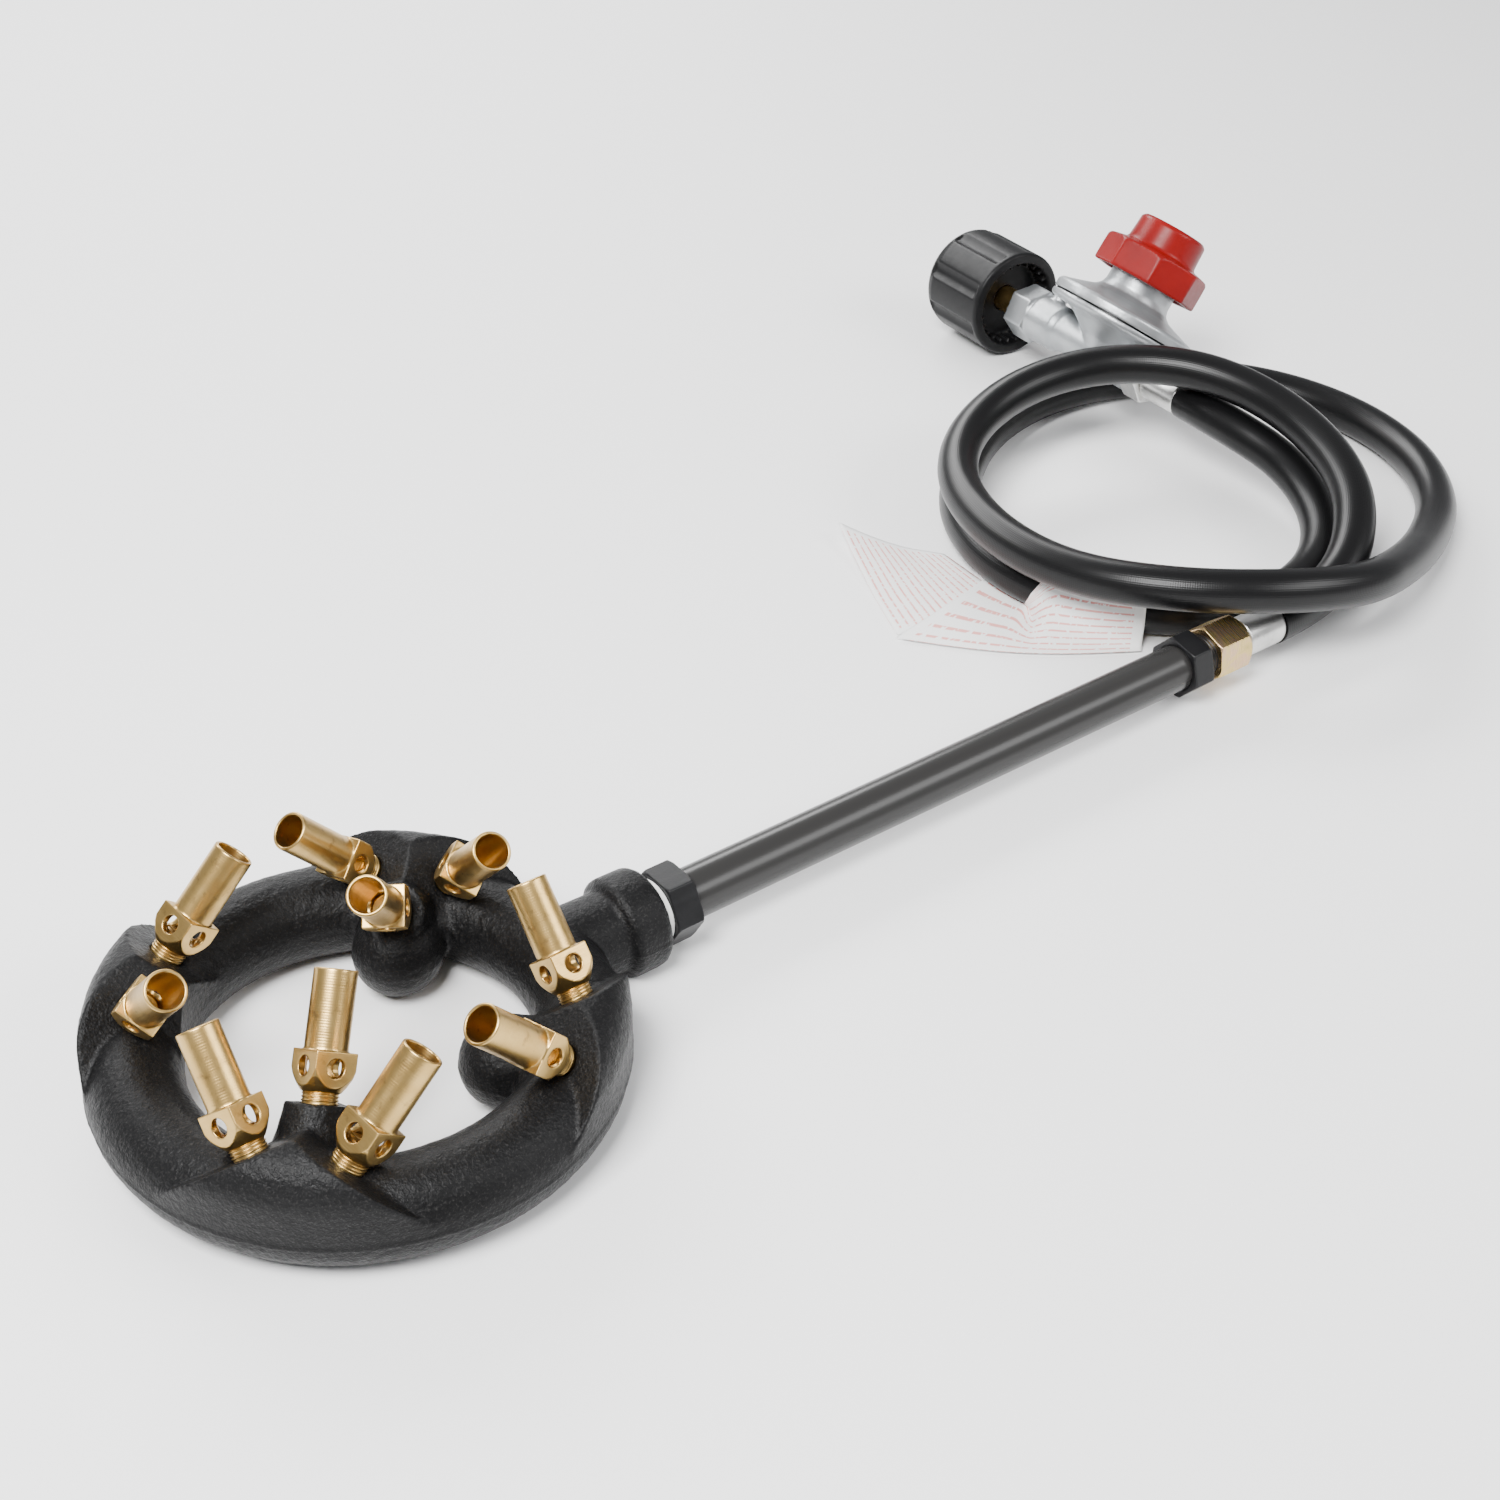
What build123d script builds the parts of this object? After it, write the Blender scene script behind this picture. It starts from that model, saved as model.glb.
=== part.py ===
from build123d import *
from math import cos, pi, radians, sin, tan
import os

os.makedirs("parts", exist_ok=True)

# Frame: origin on the floor at the ring's centre, +X along the feed pipe, +Z up. Millimetres.

# ---------------------------------------------------------------- driving dimensions
axis_height = 13.6          # ring centre line and feed pipe above the floor
ring_radius = 63.5          # ring centre line
ring_section = 14.0         # radius of the cast section
channel_radius = 8.5        # gas channel inside the ring
hump_centre = 25.4          # height of the crown's centre at a jet station
hump_half_angle = 29.0
hump_section = 13.9
stub_section = 13.8
station_angles = [45, 135, 225, 315]
stub_stations = [45, 225, 315]
inner_jet_stations = [45, 225]
stub_nose_radius = 42.0     # distance of the stub's round nose centre from the ring axis

jet_lean = 43.0             # from the vertical
jet_swing = 44.5            # outer jets, away from the inward direction
outer_base = (58.6, 14.4, 31.1)
inner_base = (38.3, 0.0, 32.2)
nipple_gap = 3.0            # visible thread between casting and block
block_width = 12.7          # half inch square brass bar
block_height = 11.0
jet_length = 33.0
jet_tube_radius = 6.0
jet_bore_radius = 5.0
air_hole_radius = 2.7
nipple_radius = 4.8
nipple_depth = 7.0

collar_radius = 16.4
collar_start, collar_end = 85.7, 100.2
socket_radius = 13.5
inlet_thread_radius = 10.4
bushing_thread_radius = 10.2
bushing_start, bushing_hex, bushing_end = 88.0, 104.0, 114.0
bushing_flats = 22.5
pipe_radius = 17.1 / 2      # three-eighths pipe
pipe_bore = 6.25
pipe_start, pipe_end = 104.5, 344.0
adapter_start, adapter_hex_end, adapter_end = 338.0, 347.5, 362.0
adapter_flats = 20.8
adapter_thread_radius = 7.95
nut_start, nut_end = 352.5, 371.0
nut_flats = 19.7
ferrule_radius = 7.75
ferrule_length = 20.0
stem_radius = 4.2
gas_bore = 2.8

hose_radius = 8.25
hose_floor = hose_radius + 0.35
tag_wall = 0.26

# ---------------------------------------------------------------- regulator frame
tank_nut_radius = 24.3
tank_nut_length = 41.0
reg_heading = radians(-95.6)
reg_pitch = radians(1.23)
reg_roll = radians(34.0)
flow = Vector(cos(reg_heading) * cos(reg_pitch), sin(reg_heading) * cos(reg_pitch), sin(reg_pitch))
level = flow.cross(Vector(0, 0, 1)).normalized()
knob_dir = level.cross(flow) * cos(reg_roll) - level * sin(reg_roll)
reg_height = tank_nut_radius * cos(reg_pitch) + 36.0 * sin(reg_pitch) + 0.02
reg_origin = Vector(491.0, 244.2, reg_height)
disc_offset = 61.4          # knob axis, measured along the flow axis
disc_radius = 33.6
outlet_hex_end = 95.0
reg_ferrule_end = 116.3

reg_line = Plane(origin=reg_origin, x_dir=flow, z_dir=flow.cross(knob_dir))
reg_across = Plane(origin=reg_origin, x_dir=knob_dir, z_dir=flow)
knob_origin = reg_origin + flow * disc_offset
knob_line = Plane(origin=knob_origin, x_dir=knob_dir, z_dir=knob_dir.cross(flow))
knob_across = Plane(origin=knob_origin, x_dir=flow, z_dir=knob_dir)
flow_axis = Axis(reg_origin, flow)
knob_axis = Axis(knob_origin, knob_dir)

pipe_line = Plane(origin=(0, 0, axis_height), x_dir=(1, 0, 0), z_dir=(0, -1, 0))
pipe_across = Plane(origin=(0, 0, axis_height), x_dir=(0, 1, 0), z_dir=(1, 0, 0))
pipe_axis = Axis((0, 0, axis_height), (1, 0, 0))


def radial_plane(angle):
    """Upright plane through the ring's axis: local x outwards, local y up."""
    a = radians(angle)
    return Plane(origin=(0, 0, 0), x_dir=(cos(a), sin(a), 0), z_dir=(sin(a), -cos(a), 0))


def station_point(angle, place):
    """Point given as (outwards, sideways, height) at a station."""
    a = radians(angle)
    out, side, height = place
    return Vector(out * cos(a) - side * sin(a), out * sin(a) + side * cos(a), height)


def jet_plane(angle, side, turn=0.0):
    """Frame of a jet: origin under its square block, local z along the jet."""
    swing = side * jet_swing
    heading = radians(angle + 180 - swing)
    lean = radians(jet_lean)
    base = inner_base if side == 0 else (outer_base[0], side * outer_base[1], outer_base[2])
    along = Vector(sin(lean) * cos(heading), sin(lean) * sin(heading), cos(lean))
    level_side = Vector(-sin(heading), cos(heading), 0)
    across = level_side * cos(radians(turn)) + along.cross(level_side) * sin(radians(turn))
    return Plane(origin=station_point(angle, base), x_dir=across, z_dir=along)


# station angle, side of the station (0 = the inner jet), turn of the square block about the jet
jets = [
    (135, -1, 12), (135, 1, 30), (45, 1, 20), (45, 0, 8), (45, -1, 38),
    (315, 1, 5), (315, -1, 15), (225, 0, 45), (225, -1, 25), (225, 1, 10),
]

# ---------------------------------------------------------------- cast ring
with BuildPart() as hump:
    with BuildSketch(radial_plane(-hump_half_angle)):
        with Locations((ring_radius, (axis_height + hump_centre) / 2)):
            SlotCenterToCenter(hump_centre - axis_height, 2 * hump_section, rotation=90)
    revolve(axis=Axis.Z, revolution_arc=2 * hump_half_angle)
    for hump_side in (-1, 1):
        split(bisect_by=jet_plane(0, hump_side).offset(-nipple_gap), keep=Keep.BOTTOM)

with BuildPart() as boss:
    boss_frame = jet_plane(0, 0).offset(-nipple_gap)
    boss_drop = (boss_frame.origin.Z - axis_height) / cos(radians(jet_lean))
    with Locations(boss_frame.offset(-boss_drop)):
        Cone(bottom_radius=12.2, top_radius=9.4, height=boss_drop,
             align=(Align.CENTER, Align.CENTER, Align.MIN))

with BuildPart() as stub:
    with BuildSketch(radial_plane(0)):
        with Locations((stub_nose_radius, axis_height)):
            Circle(stub_section)
            Rectangle(ring_radius - stub_nose_radius, 2 * stub_section,
                      align=(Align.MIN, Align.CENTER))
        with Locations((0, axis_height)):
            Rectangle(4 * ring_radius, 2 * stub_section, align=(Align.CENTER, Align.MAX),
                      mode=Mode.SUBTRACT)
    revolve(axis=Axis((0, 0, axis_height), (1, 0, 0)))

tap_end = -nipple_gap - nipple_depth
with BuildPart() as outer_drill:
    with BuildSketch(Plane.XZ):
        with BuildLine():
            Polyline((0, -18.5), (3, -18.5), (3, tap_end), (nipple_radius, tap_end),
                     (nipple_radius, 4), (0, 4), close=True)
        make_face()
    revolve(axis=Axis.Z)

with BuildPart() as inner_drill:
    with BuildSketch(Plane.XZ):
        with BuildLine():
            Polyline((0, -27), (3, -27), (3, tap_end), (nipple_radius, tap_end),
                     (nipple_radius, 4), (0, 4), close=True)
        make_face()
    revolve(axis=Axis.Z)

with BuildPart() as gas_ways:
    with BuildSketch(radial_plane(0)):
        with Locations((ring_radius, axis_height)):
            RegularPolygon(channel_radius, 8, rotation=22.5)
    revolve(axis=Axis.Z)
    with BuildSketch(pipe_line):
        with BuildLine():
            Polyline(
                (ring_radius, 0), (ring_radius, 6.5), (84.0, 6.5), (84.0, inlet_thread_radius),
                (collar_end + 5, inlet_thread_radius), (collar_end + 5, 0), close=True)
        make_face()
    revolve(axis=pipe_axis)
    for jet_angle, jet_side, jet_turn in jets:
        with Locations(jet_plane(jet_angle, jet_side)):
            add(inner_drill.part if jet_side == 0 else outer_drill.part)

with BuildPart() as burner_ring:
    with BuildSketch(radial_plane(0)):
        with Locations((ring_radius, axis_height)):
            Circle(ring_section)
    revolve(axis=Axis.Z)
    with PolarLocations(0, len(station_angles), start_angle=station_angles[0]):
        add(hump.part)
    for stub_angle in stub_stations:
        with Locations(Location((0, 0, 0), (0, 0, stub_angle))):
            add(stub.part)
    for boss_angle in inner_jet_stations:
        with Locations(Location((0, 0, 0), (0, 0, boss_angle))):
            add(boss.part)
    with BuildSketch(pipe_line):
        with BuildLine():
            Polyline(
                (ring_radius, 0), (ring_radius, socket_radius), (collar_start, socket_radius),
                (collar_start + 0.6, collar_radius - 1.4), (collar_start + 2.4, collar_radius),
                (collar_end - 1.8, collar_radius), (collar_end, collar_radius - 1.6),
                (collar_end, 0), close=True)
        make_face()
    revolve(axis=pipe_axis)
    with Locations((0, 0, -20)):
        Box(400, 400, 20, align=(Align.CENTER, Align.CENTER, Align.MIN), mode=Mode.SUBTRACT)
    add(gas_ways.part, mode=Mode.SUBTRACT)
burner_ring.part.label = "burner_ring"
export_step(burner_ring.part, "parts/burner_ring.step")

# ---------------------------------------------------------------- jets
orifice_bottom, orifice_top = -2.0, 4.4
orifice_radius = 4.0
orifice_clearance = 0.03
slot_depth = 1.3
with BuildPart() as jet_blank:
    with BuildSketch(Plane.XY):
        Rectangle(block_width, block_width)
    extrude(amount=block_height)
    with BuildSketch(Plane.XZ):
        with BuildLine():
            Polyline(
                (0, 0), (5.4, 0), (6.6, 1.6), (8.2, 4.2), (9.1, 6.6),
                (9.1, block_height), (0, block_height), close=True)
        make_face()
    revolve(axis=Axis.Z, mode=Mode.INTERSECT)
    with BuildSketch(Plane.XZ):
        with BuildLine():
            Polyline(
                (0, -nipple_gap - nipple_depth), (nipple_radius - 0.8, -nipple_gap - nipple_depth),
                (nipple_radius, -nipple_gap - nipple_depth + 0.8), (nipple_radius, 0.5), (0, 0.5),
                close=True)
        make_face()
        with BuildLine():
            Polyline(
                (0, block_height - 0.5), (jet_tube_radius, block_height - 0.5),
                (jet_tube_radius, jet_length - 0.3), (jet_tube_radius - 0.3, jet_length),
                (0, jet_length), close=True)
        make_face()
    revolve(axis=Axis.Z)
    with BuildSketch(Plane.XZ):
        with BuildLine():
            Polyline(
                (0, -nipple_gap - nipple_depth - 1), (2.4, -nipple_gap - nipple_depth - 1),
                (2.4, orifice_bottom), (orifice_radius, orifice_bottom), (orifice_radius, 3.2),
                (jet_bore_radius, 3.2), (jet_bore_radius, jet_length + 1), (0, jet_length + 1),
                close=True)
        make_face()
    revolve(axis=Axis.Z, mode=Mode.SUBTRACT)
    for hole_plane in (Plane.XZ, Plane.YZ):
        with BuildSketch(hole_plane):
            with Locations((0, 6.6)):
                Circle(air_hole_radius)
        extrude(amount=block_width, both=True, mode=Mode.SUBTRACT)

with BuildPart() as orifice_blank:
    with Locations((0, 0, orifice_bottom)):
        Cylinder(orifice_radius - orifice_clearance, orifice_top - orifice_bottom,
                 align=(Align.CENTER, Align.CENTER, Align.MIN))
        Cylinder(0.6, 2 * orifice_top + 5, align=(Align.CENTER, Align.CENTER, Align.MIN),
                 mode=Mode.SUBTRACT)
    with Locations((0, 0, orifice_top)):
        Box(2 * jet_bore_radius, 1.2, 2 * slot_depth, mode=Mode.SUBTRACT)

for jet_number, (jet_angle, jet_side, jet_turn) in enumerate(jets, start=1):
    with BuildPart() as jet:
        with Locations(jet_plane(jet_angle, jet_side, jet_turn)):
            add(jet_blank.part)
    jet.part.label = f"jet_{jet_number:02d}"
    export_step(jet.part, f"parts/jet_{jet_number:02d}.step")

with BuildPart() as orifice_screws:
    for jet_angle, jet_side, jet_turn in jets:
        with Locations(jet_plane(jet_angle, jet_side, jet_turn + 25)):
            add(orifice_blank.part)
orifice_screws.part.label = "orifice_screws"
export_step(orifice_screws.part, "parts/orifice_screws.step")

# ---------------------------------------------------------------- feed pipe line
with BuildPart() as inlet_bushing:
    with BuildSketch(pipe_across.offset(bushing_hex)):
        RegularPolygon(bushing_flats / 2, 6, major_radius=False)
    extrude(amount=bushing_end - bushing_hex)
    with BuildSketch(pipe_line):
        with BuildLine():
            Polyline(
                (bushing_hex, 0), (bushing_hex, 12.0), (bushing_hex + 0.9, 13.2),
                (bushing_end - 0.9, 13.2), (bushing_end, 12.0), (bushing_end, 0), close=True)
        make_face()
    revolve(axis=pipe_axis, mode=Mode.INTERSECT)
    with BuildSketch(pipe_line):
        with BuildLine():
            Polyline(
                (bushing_start, 0), (bushing_start, bushing_thread_radius - 0.8),
                (bushing_start + 0.8, bushing_thread_radius), (bushing_hex, bushing_thread_radius),
                (bushing_hex, 0), close=True)
        make_face()
    revolve(axis=pipe_axis)
    with BuildSketch(pipe_line):
        with BuildLine():
            Polyline(
                (bushing_start - 1, 0), (bushing_start - 1, pipe_bore), (pipe_start, pipe_bore),
                (pipe_start, pipe_radius), (bushing_end + 1, pipe_radius), (bushing_end + 1, 0),
                close=True)
        make_face()
    revolve(axis=pipe_axis, mode=Mode.SUBTRACT)
inlet_bushing.part.label = "inlet_bushing"
export_step(inlet_bushing.part, "parts/inlet_bushing.step")

with BuildPart() as thread_seal_tape:
    with BuildSketch(pipe_across.offset(bushing_start + 2)):
        Circle(inlet_thread_radius)
        Circle(bushing_thread_radius, mode=Mode.SUBTRACT)
    extrude(amount=bushing_hex - bushing_start - 2)
thread_seal_tape.part.label = "thread_seal_tape"
export_step(thread_seal_tape.part, "parts/thread_seal_tape.step")

with BuildPart() as feed_pipe:
    with BuildSketch(pipe_across.offset(pipe_start)):
        Circle(pipe_radius)
        Circle(pipe_bore, mode=Mode.SUBTRACT)
    extrude(amount=pipe_end - pipe_start)
feed_pipe.part.label = "feed_pipe"
export_step(feed_pipe.part, "parts/feed_pipe.step")

with BuildPart() as hose_adapter:
    with BuildSketch(pipe_across.offset(adapter_start)):
        RegularPolygon(adapter_flats / 2, 6, major_radius=False, rotation=12)
    extrude(amount=adapter_hex_end - adapter_start)
    with BuildSketch(pipe_line):
        with BuildLine():
            Polyline(
                (adapter_start, 0), (adapter_start, 11.1), (adapter_start + 0.8, 12.2),
                (adapter_hex_end - 0.8, 12.2), (adapter_hex_end, 11.1), (adapter_hex_end, 0),
                close=True)
        make_face()
    revolve(axis=pipe_axis, mode=Mode.INTERSECT)
    with BuildSketch(pipe_line):
        with BuildLine():
            Polyline(
                (adapter_hex_end, 0), (adapter_hex_end, adapter_thread_radius - 0.9),
                (adapter_hex_end + 1.2, adapter_thread_radius - 0.9),
                (adapter_hex_end + 2.1, adapter_thread_radius),
                (adapter_end - 4.5, adapter_thread_radius), (adapter_end - 4.0, 7.2),
                (adapter_end, 3.2), (adapter_end, 0), close=True)
        make_face()
    revolve(axis=pipe_axis)
    with BuildSketch(pipe_line):
        with BuildLine():
            Polyline(
                (adapter_start - 1, 0), (adapter_start - 1, pipe_radius), (pipe_end, pipe_radius),
                (pipe_end, gas_bore), (adapter_end + 1, gas_bore), (adapter_end + 1, 0), close=True)
        make_face()
    revolve(axis=pipe_axis, mode=Mode.SUBTRACT)
hose_adapter.part.label = "hose_adapter"
export_step(hose_adapter.part, "parts/hose_adapter.step")

# ---------------------------------------------------------------- swivel nut and burner-end hose fitting
collar_back = 366.0         # back of the stem's collar, held by the swivel nut
with BuildPart() as hose_stem:
    with BuildSketch(pipe_line):
        with BuildLine():
            Polyline(
                (adapter_end - 3.2, gas_bore), (adapter_end - 3.2, 6.45), (adapter_end - 3.7, 7.0),
                (adapter_end - 3.7, 7.6), (collar_back - 1.2, 7.6), (collar_back, 6.0),
                (nut_end, 6.0), (nut_end, stem_radius), (nut_end + ferrule_length, stem_radius),
                (nut_end + ferrule_length, gas_bore), close=True)
        make_face()
    revolve(axis=pipe_axis)
    with BuildSketch(pipe_line):
        with BuildLine():
            Polyline(
                (adapter_end - 5.0, 8.2), (adapter_end, 3.2), (adapter_end, 0),
                (adapter_end - 5.0, 0), close=True)
        make_face()
    revolve(axis=pipe_axis, mode=Mode.SUBTRACT)
hose_stem.part.label = "hose_stem"
export_step(hose_stem.part, "parts/hose_stem.step")

with BuildPart() as swivel_nut:
    with BuildSketch(pipe_across.offset(nut_start)):
        RegularPolygon(nut_flats / 2, 6, major_radius=False, rotation=20)
    extrude(amount=nut_end - nut_start - 0.3)
    with BuildSketch(pipe_line):
        with BuildLine():
            Polyline(
                (nut_start, 0), (nut_start, 10.4), (nut_start + 0.9, 11.6), (nut_end - 4.2, 11.6),
                (nut_end - 0.3, 8.6), (nut_end - 0.3, 0), close=True)
        make_face()
    revolve(axis=pipe_axis, mode=Mode.INTERSECT)
    with BuildSketch(pipe_line):
        with BuildLine():
            Polyline(
                (nut_start - 1, 0), (nut_start - 1, adapter_thread_radius + 0.05),
                (collar_back - 1.0, adapter_thread_radius + 0.05), (collar_back + 0.35, 6.06),
                (nut_end + 1, 6.06), (nut_end + 1, 0), close=True)
        make_face()
    revolve(axis=pipe_axis, mode=Mode.SUBTRACT)
swivel_nut.part.label = "swivel_nut"
export_step(swivel_nut.part, "parts/swivel_nut.step")

with BuildPart() as ferrule_burner_end:
    with BuildSketch(pipe_line):
        with BuildLine():
            Polyline(
                (nut_end, stem_radius), (nut_end, ferrule_radius - 1.2),
                (nut_end + 0.8, ferrule_radius), (nut_end + ferrule_length - 1.0, ferrule_radius),
                (nut_end + ferrule_length, ferrule_radius - 0.5),
                (nut_end + ferrule_length, stem_radius), close=True)
        make_face()
    revolve(axis=pipe_axis)
ferrule_burner_end.part.label = "ferrule_burner_end"
export_step(ferrule_burner_end.part, "parts/ferrule_burner_end.step")

# ---------------------------------------------------------------- hose
hose_start = Vector(nut_end + ferrule_length, 0, axis_height)
hose_finish = reg_origin + flow * reg_ferrule_end
last_run = 23.0
hose_route = [
    hose_start,
    Vector(417, 0, 13.6), Vector(447, 8, 21.6), Vector(474, 33, 33), Vector(487, 76, 40.7),
    Vector(480, 118, 45.8), Vector(455, 150, 44), Vector(419, 165, 38), Vector(380, 159, 30.6),
    Vector(350, 134, 26.4), Vector(335, 95, 26), Vector(334, 54, 28.5), Vector(350, 17, 34),
    Vector(381, -9, 35), Vector(419, -18, 29), Vector(456, -9, 20.5), Vector(493, 6, 12.5),
    Vector(527, 26, 9), Vector(552, 57, hose_floor), Vector(562, 96, hose_floor),
    Vector(555, 136, hose_floor), Vector(532, 168, hose_floor), Vector(496, 187, hose_floor),
    Vector(457, 192, hose_floor), Vector(418, 183, hose_floor), Vector(384, 163, hose_floor),
    Vector(354, 134, hose_floor), Vector(340, 95, hose_floor), Vector(347, 56, hose_floor),
    Vector(374, 27, hose_floor), Vector(411, 15, hose_floor), Vector(447, 23, hose_floor),
    Vector(472, 43, 13.4), Vector(482, 72, 21.6),
    hose_finish + flow * last_run,
    hose_finish,
]


def bend_radii(points):
    """Largest tangent arc at each corner that leaves a tenth of the shorter run straight."""
    radii = []
    for before, here, after in zip(points, points[1:], points[2:]):
        run_in, run_out = here - before, after - here
        half_turn = radians(run_in.get_angle(run_out)) / 2
        radii.append(0.45 * min(run_in.length, run_out.length) / tan(half_turn))
    return radii


hose_radii = bend_radii(hose_route)
print("hose bend radii", [round(r) for r in hose_radii])
with BuildPart() as hose:
    with BuildLine() as hose_path:
        FilletPolyline(*hose_route, radius=hose_radii)
    with BuildSketch(Plane(origin=hose_path.line @ 0, z_dir=hose_path.line % 0)):
        Circle(hose_radius)
    sweep()
hose_length = hose_path.wires()[0].length
print("hose length", round(hose_length, 1))
print("hose volume ratio", round(hose.part.volume / (pi * hose_radius**2 * hose_length), 4))
hose.part.label = "hose"
export_step(hose.part, "parts/hose.step")

tag_first = 27
tag_share = 0.55
tag_points = [
    (hose_route[tag_first] + hose_route[tag_first + 1]) / 2,
    hose_route[tag_first + 1],
    hose_route[tag_first + 1] * (1 - tag_share) + hose_route[tag_first + 2] * tag_share,
]
tag_inner, tag_outer = hose_radius + 0.02, hose_radius + 0.02 + tag_wall
tag_line = (tag_inner + tag_outer) / 2
tag_low = 0.05               # underside of the sheet on the floor
tag_high = tag_low + tag_wall
leg_fall = 38                # slope of the sheet from the hose to the floor, degrees
leg_angle = radians(90 - leg_fall)
leg_length = (hose_floor - tag_high + tag_line * sin(leg_angle)) / cos(leg_angle)
tag_flap = [
    (324, 62), (308, 58), (284.5, 90.5), (313.5, 160), (340, 125), (337, 80),
]
with BuildPart() as hose_tag:
    with BuildLine() as tag_path:
        FilletPolyline(*tag_points, radius=hose_radii[tag_first])
    tag_start = tag_path.line @ 0
    tag_heading = tag_path.line % 0
    tag_plane = Plane(origin=tag_start, x_dir=tag_heading.cross(Vector(0, 0, 1)), z_dir=tag_heading)
    with BuildSketch(tag_plane):
        Circle(tag_outer)
        Circle(tag_inner, mode=Mode.SUBTRACT)
    sweep()
    with BuildSketch(tag_plane):
        with Locations((tag_line * cos(leg_angle), -tag_line * sin(leg_angle))):
            Rectangle(leg_length, tag_wall, rotation=leg_fall,
                      align=(Align.MIN, Align.CENTER))
    sweep(path=tag_path.line)
    with BuildSketch(Plane.XY.offset(tag_low)):
        with BuildLine():
            Polyline(*tag_flap, close=True)
        make_face()
    extrude(amount=tag_wall)
print("tag solids", len(hose_tag.part.solids()), hose_tag.part.bounding_box())
hose_tag.part.label = "hose_tag"
export_step(hose_tag.part, "parts/hose_tag.step")

# ---------------------------------------------------------------- regulator, along the flow
with BuildPart() as ferrule_regulator_end:
    with BuildSketch(reg_line):
        with BuildLine():
            Polyline(
                (outlet_hex_end, stem_radius), (outlet_hex_end, ferrule_radius - 1.2),
                (outlet_hex_end + 0.8, ferrule_radius), (reg_ferrule_end - 1.0, ferrule_radius),
                (reg_ferrule_end, ferrule_radius - 0.5), (reg_ferrule_end, stem_radius), close=True)
        make_face()
    revolve(axis=flow_axis)
ferrule_regulator_end.part.label = "ferrule_regulator_end"
export_step(ferrule_regulator_end.part, "parts/ferrule_regulator_end.step")

outlet_thread_start, outlet_boss_end = 76.0, 84.0
outlet_thread_radius = 6.8
with BuildPart() as outlet_fitting:
    with BuildSketch(reg_across.offset(outlet_boss_end)):
        RegularPolygon(9.4, 6, major_radius=False)
    extrude(amount=outlet_hex_end - outlet_boss_end)
    with BuildSketch(reg_line):
        with BuildLine():
            Polyline(
                (outlet_boss_end, 0), (outlet_boss_end, 10.0), (outlet_boss_end + 0.9, 11.1),
                (outlet_hex_end - 0.9, 11.1), (outlet_hex_end, 10.0), (outlet_hex_end, 0),
                close=True)
        make_face()
    revolve(axis=flow_axis, mode=Mode.INTERSECT)
    with BuildSketch(reg_line):
        with BuildLine():
            Polyline(
                (outlet_thread_start, 0), (outlet_thread_start, outlet_thread_radius),
                (outlet_boss_end, outlet_thread_radius), (outlet_boss_end, stem_radius),
                (reg_ferrule_end, stem_radius), (reg_ferrule_end, 0), close=True)
        make_face()
    revolve(axis=flow_axis)
    with BuildSketch(reg_line):
        with BuildLine():
            Polyline(
                (outlet_thread_start - 1, 0), (outlet_thread_start - 1, gas_bore),
                (reg_ferrule_end + 1, gas_bore), (reg_ferrule_end + 1, 0), close=True)
        make_face()
    revolve(axis=flow_axis, mode=Mode.SUBTRACT)
outlet_fitting.part.label = "outlet_fitting"
export_step(outlet_fitting.part, "parts/outlet_fitting.step")

nipple_shaft = 5.8
nipple_flange_back = -15.05
with BuildPart() as inlet_nipple:
    with BuildSketch(reg_line):
        with BuildLine():
            Polyline(
                (-33, gas_bore), (-33, 3.6), (-30, 5.2), (-27, 5.2), (-27, 4.2), (-25, 4.2),
                (-25, 5.2), (-23, 6.4), (-19.5, 6.4), (-19.5, 9.6), (nipple_flange_back - 0.6, 9.6),
                (nipple_flange_back, 9.0), (nipple_flange_back, nipple_shaft),
                (12, nipple_shaft), (12, gas_bore), close=True)
        make_face()
    revolve(axis=flow_axis)
inlet_nipple.part.label = "inlet_nipple"
export_step(inlet_nipple.part, "parts/inlet_nipple.step")

with BuildPart() as nipple_seal:
    with BuildSketch(reg_line):
        with Locations((-26, 5.15)):
            Circle(0.94)
    revolve(axis=flow_axis)
nipple_seal.part.label = "nipple_seal"
export_step(nipple_seal.part, "parts/nipple_seal.step")

flute_count = 8
ridge_count = 24
tank_thread_radius = 16.65
with BuildPart() as tank_nut:
    with BuildSketch(reg_line):
        with BuildLine():
            Polyline(
                (0, 19.6), (0, 23.4), (-0.9, tank_nut_radius), (-34, tank_nut_radius),
                (-37, 23.4), (-39.4, 21.6), (-tank_nut_length, 19.0),
                (-tank_nut_length, tank_thread_radius), (-15, tank_thread_radius),
                (-15, nipple_shaft + 0.08), (-9, nipple_shaft + 0.08), (-9, 17.8), close=True)
        make_face()
    revolve(axis=flow_axis)
    with BuildSketch(reg_across.offset(-36)):
        with PolarLocations(tank_nut_radius + 4.2, flute_count, start_angle=10):
            Circle(5.8)
    extrude(amount=33, mode=Mode.SUBTRACT)
    with BuildSketch(reg_across.offset(-9)):
        with PolarLocations(18.3, ridge_count):
            Rectangle(2.0, 1.0)
    extrude(amount=7.6)
tank_nut.part.label = "tank_nut"
export_step(tank_nut.part, "parts/tank_nut.step")

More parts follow.
